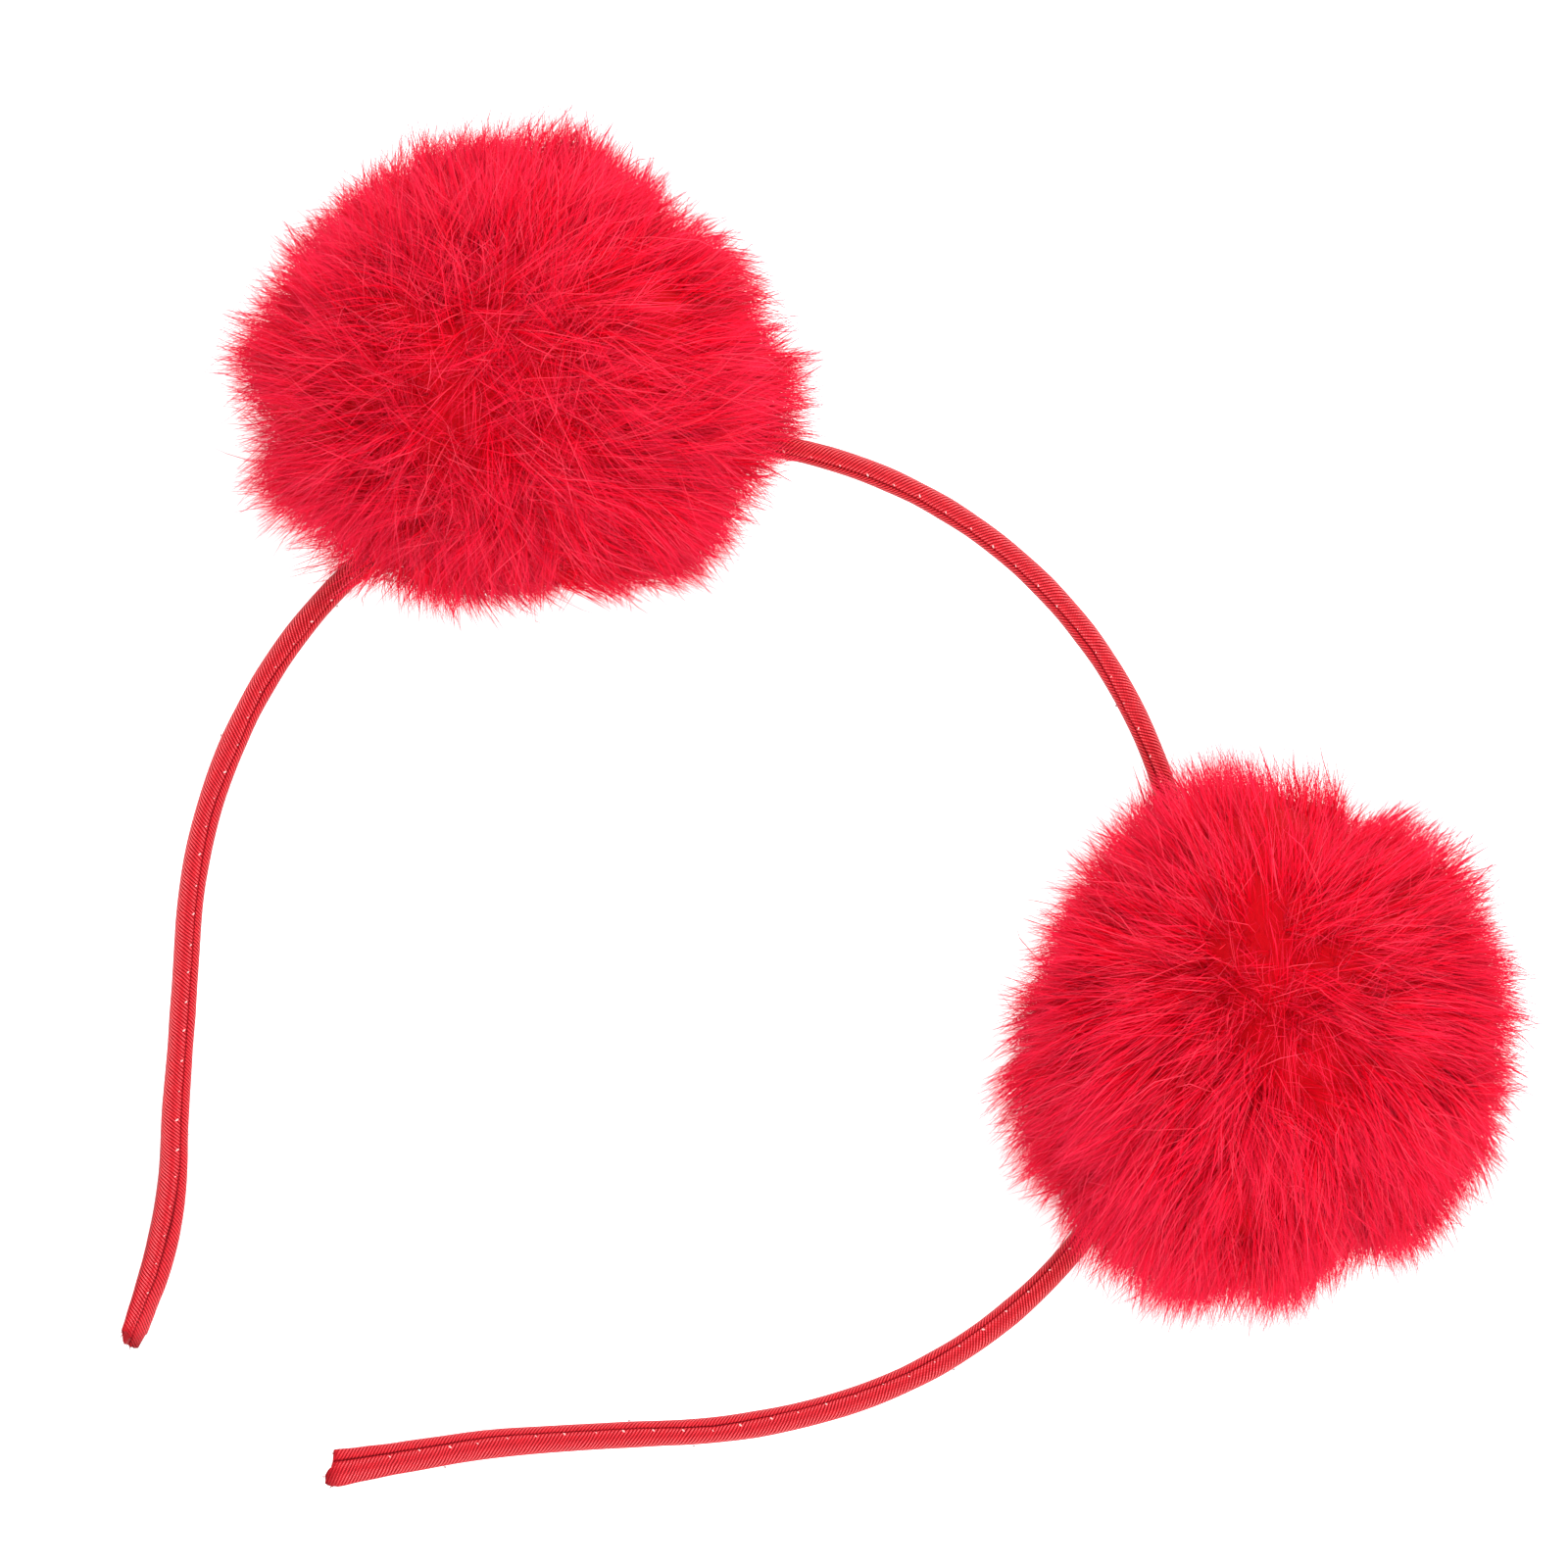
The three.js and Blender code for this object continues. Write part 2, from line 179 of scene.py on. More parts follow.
# satin-covered band: degrees round its section start on the outer side and pass over the top
band = {
    "seed": 5,
    "foldSeed": 17,
    "stationStep": 0.5,
    "cornersRound": 34,
    "foldCorners": (-16, -12, -10, -8, -6, -4, -1, 0, 1.2, 2.5, 4, 5.5, 7.5, 10, 14),  # degrees from the fold
    "cornerGap": 4,
    "farEnough": 220,  # from the crown, past the ends of both legs
    "lapAngle": 109,  # where the cloth's edge is folded under
    "lapStep": 0.28,  # how far the folded edge stands up
    "lapFold": 2.5,  # degrees over which it drops again
    "grooveDepth": 0.16,
    "groovePast": 4.5,  # degrees from the fold to the groove's middle
    "grooveSpread": 3,
    "foldStrays": 3.2,  # degrees, drawn afresh every strayEvery
    "strayEvery": 9,
    "foldStays": 0.75,  # share of an end's twist that the fold doesn't follow
    "foldTakes": 45,  # degrees of the section that move with the fold
    "uneven": 0.035,  # how much the cover swells and shrinks, drawn afresh every unevenEvery
    "unevenEvery": 4,
    "fishtailDepth": 2.3,  # how far the cut of the ends slants
    "cutRough": 0.03,  # as a share of it
    "meltedRun": 0.3,  # over which the melted edge fades
    "ribPitch": 0.385,  # as the photo shows them
    "ribLean": -35,  # degrees that the ribs' normal leans from the band's length
    "threadPitch": 0.2,  # real threads are half as far apart, too fine to show, so these are drawn coarser
    "wornPerMm": 1.1,  # rubbed places in a millimetre
}
legs = [
    {
        "side": -1,
        "round": 99.8,  # degrees of the crown's arc before the first bend
        "twist": 52,  # degrees at the end
        # run and turn towards the other leg
        "bends": [(35, 28.6), (21, -1.1), (7, 3.4), (18, -17.8), (5.6, 0)],
        # place across the end, from its inner to its outer side, and reach as a share of fishtailDepth
        "fishtail": [(-1, 0), (-0.8, 0.06), (-0.58, 0.25), (-0.46, 0.9), (-0.35, 1), (0.15, 0.95), (1, 0.2)],
    },
    {
        "side": 1,
        "round": 84,
        "twist": 4,
        "bends": [(40, 37), (22, 15), (20, -2.1), (8, -4.9), (15, 0)],
        "fishtail": [
            (-1, 0), (-0.6, 0.04), (-0.2, 0.27), (0.1, 0.63), (0.4, 0.8), (0.7, 0.83), (0.88, 0.6), (1, 0.2),
        ],
    },
]
# share of the leg's length, width and height as shares of the band's, share of the leg's twist
coverRows = [
    (0, 1, 1, 0),
    (0.45, 1, 1, 0),
    (0.6, 1.1, 0.97, 0),
    (0.84, 1.12, 0.94, 0.1),
    (0.92, 1.26, 0.86, 0.4),
    (0.96, 1.33, 0.72, 0.65),
    (0.985, 1.45, 0.52, 0.9),
    (1, 1.55, 0.38, 1),
]
# share of the lap's angle and share of its step
lapRows = [(0, 0), (0.25, 0), (0.6, 0.5), (0.85, 1), (1, 1)]
stitch = {
    "seed": 12,
    "pitch": 3.75,
    "fromEnds": (5, 4),  # of the first and the last one
    "strays": 0.12,
    "straysRound": 2.5,
    "length": 0.38,
    "width": 0.2,
    "slant": 35,
    "beforeFold": 8,  # degrees
    "onLap": 0.75,  # share of the lap's step that it lies on
    "dip": 0.05,
    "shows": (0.5, 1.15),  # how far each one stands out of the satin, as a share
    "holds": 0.5,  # share of the lap's step that it presses down
    "holdsRun": 0.5,
}
hem = {"beforeFold": 8, "spread": 4, "rise": 0.05}  # the sewn ridge that the stitches sit on
# degrees round the section, spread and strength: dark lines of painted shade at the fold and the edges, and
# painted highlight where ribs catch the light
paintedShadeLines = [(112, 4, 1), (88, 4, 0.5), (0, 11, 0.55), (360, 11, 0.55), (180, 9, 0.3)]
paintedHighlights = [(46, 20, 1), (66, 14, 0.5), (101, 5, 0.8), (150, 16, 0.6), (320, 30, 0.6), (215, 25, 0.5)]


def legPath(leg, step):
    # stations every step along one leg, from the crown: point, heading and share of the leg's length
    runs, turns = np.array([(math.radians(leg["round"]) * hoop["radius"], leg["round"]), *leg["bends"]]).T
    edges = np.concatenate([[0], np.cumsum(runs)])
    headings = np.radians(np.concatenate([[0], np.cumsum(turns)]))
    length = edges[-1]
    along = np.linspace(0, length, int(length / step) + 1)
    heading = np.interp(along, edges, headings)
    middle = (heading[1:] + heading[:-1]) / 2
    run = np.diff(along)
    x = np.concatenate([[0], np.cumsum(run * np.cos(middle))]) * leg["side"]
    y = hoop["radius"] - np.concatenate([[0], np.cumsum(run * np.sin(middle))])
    return {
        "point": np.stack([x, y, 0 * x], 1),
        "forward": np.stack([leg["side"] * np.cos(heading), -np.sin(heading), 0 * x], 1),
        "outward": np.stack([leg["side"] * np.sin(heading), np.cos(heading), 0 * x], 1),
        "signed": along * leg["side"],
        "twist": np.full(len(along), leg["twist"]),
        "share": along / length,
        "fromEnd": length - along,
    }


def bandStations(step):
    # both legs in one run, from the left end to the right one
    first, second = (legPath(leg, step) for leg in legs)
    joined = {key: np.concatenate([first[key][::-1], second[key][1:]]) for key in first}
    for key, column in (("width", 1), ("height", 2), ("twistShare", 3)):
        joined[key] = easedAt(joined["share"], coverRows, column)
    joined["twist"] = np.radians(joined["twist"] * joined["twistShare"])
    return joined


def sectionAt(angles, stations, rise):
    # places across and up for each station and angle round the section
    power = 2 / hoop["squareness"]
    cos, sin = np.cos(np.radians(angles)), np.sin(np.radians(angles))
    halfWidth = stations["width"][:, None] * hoop["bandWidth"] / 2
    halfHeight = stations["height"][:, None] * hoop["bandHeight"] / 2
    across = np.sign(cos) * np.abs(cos) ** power * (halfWidth + rise)
    up = np.sign(sin) * np.abs(sin) ** power * (halfHeight + rise)
    return across, up


def lapRise(angles, pressed):
    # thickness that the lapped satin adds round the section; pressed is how much a stitch holds it down
    past = angles - band["lapAngle"]
    over = easedAt(np.clip(angles / band["lapAngle"], 0, 1), lapRows, 1) * (past <= 0)
    over = np.where((past > 0) & (past < band["lapFold"]), 1 - past / band["lapFold"], over)
    groove = bell(past, band["groovePast"], band["grooveSpread"]) * (past > 0)
    ridge = hem["rise"] * bell(past, -hem["beforeFold"], hem["spread"])
    held = band["lapStep"] * over * (1 - stitch["holds"] * pressed)
    return held + ridge - band["grooveDepth"] * groove


def placeOnBand(stations, across, up):
    # section points in the hoop's plane, with the twist near the ends
    cos, sin = np.cos(stations["twist"])[:, None], np.sin(stations["twist"])[:, None]
    points = stations["point"][:, None] + (across * cos - up * sin)[..., None] * stations["outward"][:, None]
    points[..., 2] += across * sin + up * cos
    return points


def stitchPlaces(stations):
    fromLeft, fromRight = stitch["fromEnds"]
    return np.arange(stations["signed"][0] + fromLeft, stations["signed"][-1] - fromRight, stitch["pitch"])


def strayAlong(signed, every, amount, rng):
    # a value that strays along the band, drawn afresh every few millimetres
    knots = np.arange(-band["farEnough"], band["farEnough"] + 1, every)
    return np.interp(signed, knots, rng.normal(0, amount, len(knots)))


def foldWander(signed, twist):
    # degrees that the fold strays: it doesn't run quite straight, and hardly turns with the twisted end
    rng = np.random.default_rng(band["foldSeed"])
    strays = strayAlong(signed, band["strayEvery"], band["foldStrays"], rng)
    return strays - np.degrees(twist) * band["foldStays"]


def sectionCorners():
    # degrees round the section: even steps, and closer ones at the fold
    nearFold = band["lapAngle"] + np.array(band["foldCorners"])
    even = np.arange(band["cornersRound"]) * 360 / band["cornersRound"]
    even = even[(even < nearFold[0] - band["cornerGap"]) | (even > nearFold[-1] + band["cornerGap"])]
    return np.sort(np.concatenate([even, nearFold]))


def ringSteps(rings, around):
    # every ring but the last one with every corner round it
    return [grid.ravel() for grid in np.meshgrid(np.arange(rings - 1), np.arange(around), indexing="ij")]


def tubeQuads(rings, around):
    i, j = ringSteps(rings, around)
    a, b = i * around + j, i * around + (j + 1) % around
    return np.stack([a, b, b + around, a + around], -1)


def makeBand(material):
    rng = np.random.default_rng(band["seed"])
    stations = bandStations(band["stationStep"])
    signed = stations["signed"]
    angles = sectionCorners()
    fromStitch = np.abs(signed[:, None] - stitchPlaces(stations)).min(1)
    rise = lapRise(angles[None], bell(fromStitch, 0, stitch["holdsRun"])[:, None])
    uneven = strayAlong(signed, band["unevenEvery"], band["uneven"], rng)[:, None]
    moved = bell(angles, band["lapAngle"], band["foldTakes"]) * foldWander(signed, stations["twist"])[:, None]
    across, up = sectionAt(angles + moved, stations, rise + uneven)
    points = placeOnBand(stations, across, up)
    count, around = len(signed), len(angles)
    # the twill runs in millimetres along the band and round it, and breaks off at the fold
    along = np.tile(signed[:, None], around)
    steps = np.linalg.norm(np.diff(points, axis=1, append=points[:, :1]), axis=-1)
    girth = np.concatenate([np.zeros((count, 1)), np.cumsum(steps, axis=1)], 1)
    for index, leg in ((0, legs[0]), (-1, legs[1])):
        half = np.abs(across[index]).max()
        cut = easedAt(across[index] / half, leg["fishtail"], 1) + rng.normal(0, band["cutRough"], around)
        points[index] += stations["forward"][index] * (cut * band["fishtailDepth"])[:, None]
        along[index] += leg["side"] * cut * band["fishtailDepth"]
    ring = points.reshape(-1, 3)
    quads = tubeQuads(count, around)
    # a fan of faces closes each end
    fans, hubs = [], []
    for first, order in ((0, (1, 0)), ((count - 1) * around, (0, 1))):
        edge = first + np.stack([np.arange(around), (np.arange(around) + 1) % around], 1)
        hub = np.full((around, 1), len(ring) + len(hubs))
        fans.append(np.concatenate([hub, edge[:, order]], 1))
        hubs.append(ring[first : first + around].mean(0))
    fans = np.concatenate(fans)
    corners = np.concatenate([quads.ravel(), fans.ravel()])
    sizes = np.concatenate([np.full(len(quads), 4), np.full(len(fans), 3)])
    piece = newPiece("satin_cover", toRow(np.concatenate([ring, hubs])), corners, sizes, material, "satin")
    i, j = ringSteps(count, around)
    pastFold = angles[j] >= band["lapAngle"]
    weave = np.stack([
        [along[station, corner % around], girth[station, corner] - girth[station, -1] * pastFold]
        for station, corner in ((i, j), (i, j + 1), (i + 1, j + 1), (i + 1, j))
    ]).transpose(2, 0, 1).reshape(-1, 2)
    weave = np.concatenate([weave, np.zeros((fans.size, 2))]).astype(np.float32)
    piece.data.uv_layers.new(name="weave").data.foreach_set("uv", weave.ravel())
    melt = np.exp(-stations["fromEnd"] / band["meltedRun"])
    setAttribute(piece, "melt", "FLOAT", np.concatenate([np.repeat(melt, around), [1, 1]]))
    for name, lines in (("paintedShade", paintedShadeLines), ("paintedHighlight", paintedHighlights)):
        strength = np.minimum(sum(most * bell(angles, place, spread) for place, spread, most in lines), 1)
        setAttribute(piece, name, "FLOAT", np.concatenate([np.tile(strength, count), [0, 0]]))
    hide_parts("satin_hoop")
    return stations


def satinTwill():
    # polyester satin ribbon with a twill back, wrapped and stitched: fine slanted ribs in painted shade and
    # highlight, with a painted highlight on the shoulders
    material, tree = newMaterial("polyester_satin_twill")
    uv = addNode(tree, "UVMap", uv_map="weave").outputs["UV"]
    slant = (0, 0, math.radians(band["ribLean"]))
    turned = addNode(tree, "Mapping", {"Vector": uv, "Rotation": slant}).outputs["Vector"]
    wavePeriod = math.tau / 20  # the wave texture's own repeat at scale 1
    ribs = addNode(tree, "TexWave", {
        "Vector": turned,
        "Scale": wavePeriod / band["ribPitch"],
        "Distortion": 2.2,
        "Detail": 1,
        "Detail Scale": 0.6,
    })
    threads = addNode(tree, "TexWave", {
        "Vector": turned,
        "Scale": wavePeriod / band["threadPitch"],
        "Distortion": 3,
        "Detail Scale": 1.5,
    }, bands_direction="Y")
    broken = addNode(tree, "MapRange", {"Value": threads.outputs["Fac"], "To Min": 0.45, "To Max": 1.15})
    relief = addNode(tree, "Math", {
        0: ribs.outputs["Fac"], 1: broken.outputs["Result"],
    }, operation="MULTIPLY")
    # the ribs coloured by their height: painted shade in the gaps between them and painted highlight on their
    # crests
    ribShading = addNode(tree, "ValToRGB", {"Fac": relief.outputs[0]})
    ramp = ribShading.color_ramp.elements
    ramp[0].color, ramp[0].position = toLinear("#740008"), 0.1
    ramp[1].color, ramp[1].position = toLinear("#FF4854"), 0.95
    halfway = ramp.new(0.5)
    halfway.color = toLinear("#C8101D")
    # rubbed flat in places, where the ribs hardly show
    wear = addNode(tree, "TexNoise", {"Vector": uv, "Scale": band["wornPerMm"], "Detail": 3})
    rubbed = addNode(tree, "MapRange", {
        "Value": wear.outputs["Fac"], "From Min": 0.45, "From Max": 0.7, "To Min": 0, "To Max": 0.4,
    })
    worn = addNode(tree, "MixRGB", {
        "Fac": rubbed.outputs["Result"], "Color1": ribShading.outputs["Color"], "Color2": toLinear("#CC1622"),
    })
    # painted highlight: the floats on the rounded shoulders and the sewn ridge are painted as short pale
    # ticks where they would catch the light
    paintedHighlight = addNode(tree, "Attribute", attribute_name="paintedHighlight")
    crests = addNode(tree, "MapRange", {
        "Value": relief.outputs[0], "From Min": 0.55, "From Max": 1, "To Min": 0, "To Max": 0.85,
    })
    paintedTicks = addNode(tree, "Math", {
        0: paintedHighlight.outputs["Fac"], 1: crests.outputs["Result"],
    }, operation="MULTIPLY")
    highlighted = addNode(tree, "MixRGB", {
        "Fac": paintedTicks.outputs[0], "Color1": worn.outputs["Color"], "Color2": toLinear("#FF7E82"),
    })
    # painted shade: darker along the fold, beside it, and at the band's outer and inner edges
    paintedShade = addNode(tree, "Attribute", attribute_name="paintedShade")
    shaded = addNode(tree, "MixRGB", {
        "Fac": paintedShade.outputs["Fac"], "Color1": highlighted.outputs["Color"], "Color2": toLinear("#660008"),
    })
    melt = addNode(tree, "Attribute", attribute_name="melt")
    melted = addNode(tree, "MixRGB", {
        "Fac": melt.outputs["Fac"], "Color1": shaded.outputs["Color"], "Color2": toLinear("#A8101C"),
    })
    bump = addNode(tree, "Bump", {"Height": relief.outputs[0], "Strength": 0.8, "Distance": 0.0001})
    shader = addNode(tree, "BsdfPrincipled", {
        "Base Color": melted.outputs["Color"],
        "Roughness": 0.45,
        "IOR": 1.5,
        "Specular IOR Level": 0.08,
        "Normal": bump.outputs["Normal"],
    })
    finishMaterial(tree, shader.outputs["BSDF"])
    return material


def paintedGlintThread():
    # polyester thread, its colour a painted glint, pale where each stitch comes up beside the fold
    material, tree = newMaterial("thread_painted_glint")
    shader = addNode(tree, "BsdfPrincipled", {
        "Base Color": toLinear("#F0ACA8"),
        "Roughness": 0.35,
        "IOR": 1.5,
    })
    finishMaterial(tree, shader.outputs["BSDF"])
    return material


def rodMesh(name, starts, middles, ends, widths, material, slot):
    # short bent threads: each a bow drawn by three points, rounded off and closed at its ends
    rings, sides = 7, 6
    t = np.linspace(0, 1, rings)[None, :, None]
    path = (1 - t) ** 2 * starts[:, None] + 2 * t * (1 - t) * middles[:, None] + t**2 * ends[:, None]
    tangent = unit(np.gradient(path, axis=1))
    side = unit(np.cross(tangent, np.array([0.31, 0.22, 0.93])))  # any direction that no thread runs in
    up = np.cross(side, tangent)
    thickness = np.sqrt(np.clip(1 - (2 * t[..., 0] - 1) ** 4, 0.02, 1))
    turn = np.arange(sides) * math.tau / sides
    ring = np.cos(turn)[:, None] * side[:, :, None] + np.sin(turn)[:, None] * up[:, :, None]
    radius = (widths[:, None] * thickness / 2)[..., None, None]
    points = path[:, :, None] + ring * radius
    count = len(path)
    each = rings * sides
    quads = tubeQuads(rings, sides)
    base = (np.arange(count) * each)[:, None, None]
    caps = np.stack([np.arange(sides)[::-1], each - sides + np.arange(sides)])
    corners = np.concatenate([(base + quads).ravel(), (base + caps).ravel()])
    sizes = np.concatenate([np.full(count * len(quads), 4), np.full(count * 2, sides)])
    return newPiece(name, toRow(points.reshape(-1, 3)), corners, sizes, material, slot)


def makeStitches(stations, material):
    rng = np.random.default_rng(stitch["seed"])
    places = stitchPlaces(stations)
    places = places + rng.normal(0, stitch["strays"], len(places))
    at = {}
    for key, values in stations.items():
        columns = [np.interp(places, stations["signed"], column) for column in np.atleast_2d(values.T)]
        at[key] = columns[0] if values.ndim == 1 else np.stack(columns, -1)
    wander = foldWander(places, at["twist"])

    def onSatin(along, angle, lift):
        across, up = sectionAt((angle + wander)[:, None], at, band["lapStep"] * stitch["onLap"] + lift)
        return placeOnBand(at, across, up)[:, 0] + at["forward"] * along[:, None] * np.sign(places)[:, None]

    shows = rng.uniform(*stitch["shows"], len(places))
    half = stitch["length"] / 2 * shows
    slant = np.radians(stitch["slant"])
    angle = band["lapAngle"] - stitch["beforeFold"] + rng.normal(0, stitch["straysRound"], len(places))
    turn = np.degrees(half * np.sin(slant) / (hoop["bandHeight"] / 2))
    starts = onSatin(-half * np.cos(slant), angle - turn, -stitch["dip"])
    ends = onSatin(half * np.cos(slant), angle + turn, -stitch["dip"])
    widths = stitch["width"] * shows
    middles = onSatin(0 * half, angle, widths)
    rodMesh("stitches", starts, middles, ends, widths, material, "satin")


fray = {
    "seed": 21,
    "eachEnd": 16,
    "rooted": 0.15,  # how deep in the cover it starts
    "length": (0.3, 0.75),
    "bow": 0.08,
    "curl": 0.16,
    "thickness": (0.06, 0.12),
}
snag = {
    # millimetres along the band from the crown, and degrees round it
    "places": [(-98, 182), (-120, 12), (-171, 196), (118, 358), (152, 4), (160, 180), (22, 178), (184, 2)],
    "rooted": 0.03,
    "back": 0.12,
    "forth": 0.14,
    "height": 0.42,
    "bow": 0.05,
    "thickness": 0.13,
}


def makeFrays(stations, material):
    # loose filaments at both melted ends, and a few nubs where the weave is snagged
    rng = np.random.default_rng(fray["seed"])
    starts, middles, ends, widths = [], [], [], []
    for index, leg in ((0, legs[0]), (-1, legs[1])):
        at = {key: values[[index]] for key, values in stations.items()}
        forward = at["forward"][0]
        half = at["width"][0] * hoop["bandWidth"] / 2
        for angle in rng.uniform(0, 360, fray["eachEnd"]):
            across, up = sectionAt(np.array([[angle]]), at, -fray["rooted"])
            cut = easedAt(across[0, 0] / half, leg["fishtail"], 1) * band["fishtailDepth"]
            root = placeOnBand(at, across, up)[0, 0] + forward * (cut - fray["rooted"])
            grow = forward * rng.uniform(*fray["length"])
            starts.append(root)
            middles.append(root + grow * 0.6 + rng.normal(0, fray["bow"], 3))
            ends.append(root + grow + rng.normal(0, fray["curl"], 3))
            widths.append(rng.uniform(*fray["thickness"]))
    for signed, angle in snag["places"]:
        at = {key: values[[np.abs(stations["signed"] - signed).argmin()]] for key, values in stations.items()}
        across, up = sectionAt(np.array([[angle]]), at, -snag["rooted"])
        root = placeOnBand(at, across, up)[0, 0]
        out = at["outward"][0] * np.sign(across[0, 0])
        starts.append(root - at["forward"][0] * snag["back"])
        middles.append(root + out * snag["height"] + rng.normal(0, snag["bow"], 3))
        ends.append(root + at["forward"][0] * snag["forth"])
        widths.append(snag["thickness"])
    threads = (np.array(column) for column in (starts, middles, ends, widths))
    rodMesh("frays", *threads, material, "satin")


satin = satinTwill()
thread = paintedGlintThread()
stations = makeBand(satin)
makeStitches(stations, thread)
makeFrays(stations, satin)
print("band made")

# fur pompoms
fur = {
    "radius": 34,
    "bearing": 59.5,  # of both pompoms from the crown
    "backing": 8.8,  # ball that the fur grows from
    "bandGap": 0.3,
    "evenReach": 0.97,  # share of the radius straight above and below the hoop's plane
    "pastOutline": 1.085,  # the longest hairs stand thinly past the measured edge
    "rootShare": 0.64,
}
pompoms = [
    {
        "name": "pompom_left",
        "side": -1,
        "seed": 3,
        "whorl": (-0.11, -0.2, 1),  # where the hairs part, as a direction in the hoop's own axes
        "whorlSoftness": 0.75,  # share of the radius over which the hairs' lean away from the whorl grows
        "whorlSpan": 0.5,  # radians round the whorl where the hairs lie in a mess
        "whorlMess": 0.55,
        "mess": 1.05,  # of the tufts all over
        # bearing in the hoop's plane and reach as a share of the radius
        "outline": [
            (0, 1), (20, 1.01), (34, 1.13), (50, 1.11), (60, 1.06), (72, 0.985), (85, 0.925), (98, 0.935),
            (120, 0.97), (145, 0.965), (160, 0.965), (172, 0.94), (190, 1.015), (205, 1.03), (220, 1.075),
            (240, 1.05), (252, 1.035), (262, 1.02), (270, 1.02), (280, 0.91), (300, 0.855), (318, 0.81),
            (328, 0.745), (340, 0.88), (360, 1),
        ],
    },
    {
        "name": "pompom_right",
        "side": 1,
        "seed": 8,
        "whorl": (-0.25, 0.46, 1),
        "whorlSoftness": 0.45,
        "whorlSpan": 0.22,
        "whorlMess": 0.2,
        "mess": 0.65,
        "outline": [
            (0, 0.99), (25, 0.98), (42, 1.03), (52, 1.03), (64, 1.01), (80, 1.085), (98, 1.11), (110, 0.985),
            (122, 1.1), (134, 1.15), (152, 1.08), (162, 0.985), (180, 0.935), (205, 0.9), (220, 0.91),
            (240, 1), (250, 1.01), (260, 0.95), (270, 1.05), (288, 1.05), (305, 0.995), (320, 0.985),
            (338, 0.895), (350, 0.97), (360, 0.99),
        ],
    },
]
coat = {
    # how many, and how unevenly they are spread
    "lobes": (20, 1.6),
    "tufts": (340, 0.9),
    "wisps": (12000, 1.2),
    "rootScatter": 1.6,
    "comb": 0.34,  # how far hairs lean away from the whorl, as a share of the radius
    "lobeGather": 0.16,
    "lobeValley": 0.06,  # how much shorter the hair is between two lobes
    "valleyWidth": 0.05,
    "tuftLean": 0.12,
    "tuftGather": 0.28,
    "tuftLength": 0.03,
    "wispLean": 0.1,
    "wispLength": (0.925, 1.055),
    "fewLong": 2.6,  # the higher, the fewer wisps stand past the others
    "leansLate": 1.4,  # the higher, the nearer to the tips the hairs bend and the wisps close up
    "closesLate": 1.6,
    "sag": 0.8,
    "floorLayer": (0.15, 1.6),  # how high above the surface the lowest hairs lie
    "floorSpread": 0.7,
}
# real hairs are under 0.05 thick, too fine to show, so these are drawn as coarse as they need to be
layers = [
    {
        "label": "inner",
        "strands": 50000,
        "segments": 2,
        "width": 0.13,
        "length": (0.84, 0.97),
        "close": 0.35,
        "stray": 0.07,
        "crimp": 0.1,
        "pale": (0, 0.75),
    },
    {
        "label": "outer",
        "strands": 36000,
        "segments": 3,
        "width": 0.11,
        "length": (0.95, 1),
        "close": 0.75,
        "stray": 0.08,
        "crimp": 0.18,
        "pale": (0, 1),
    },
    {
        "label": "loose",
        "strands": 13500,
        "segments": 5,
        "width": 0.1,
        "length": (0.88, 1),
        "close": 0.1,
        "stray": 0.22,
        "crimp": 0.45,
        "pale": (0.55, 1),
    },
]


def spread(count, jitter, rng):
    # directions all over a ball, evenly but for the jitter
    i = np.arange(count) + 0.5
    z = 1 - 2 * i / count
    turn = math.pi * (3 - math.sqrt(5)) * i
    flat = np.sqrt(1 - z * z)
    even = np.stack([flat * np.cos(turn), flat * np.sin(turn), z], 1)
    return unit(even + rng.normal(0, jitter / math.sqrt(count), even.shape))


def furReach(directions, outline):
    # how far the fur reaches in each direction: its outline in the hoop's plane, evened out above and below
    local = directions @ planeAxes.T
    bearing = np.degrees(np.arctan2(local[:, 1], local[:, 0])) % 360
    inPlane = 1 - local[:, 2] ** 2
    share = fur["evenReach"] + (easedAt(bearing, outline, 1) - fur["evenReach"]) * inPlane
    return share * fur["pastOutline"] * fur["radius"]


def sideways(directions, vectors):
    # the part of each vector that lies along the ball's surface
    return vectors - directions * (vectors * directions).sum(-1, keepdims=True)


def pompomCentre(pompom):
    bearing = math.radians(fur["bearing"])
    distance = hoop["radius"] + hoop["bandWidth"] / 2 + fur["bandGap"] + fur["backing"]
    return toRow([pompom["side"] * distance * math.sin(bearing), distance * math.cos(bearing), 0])


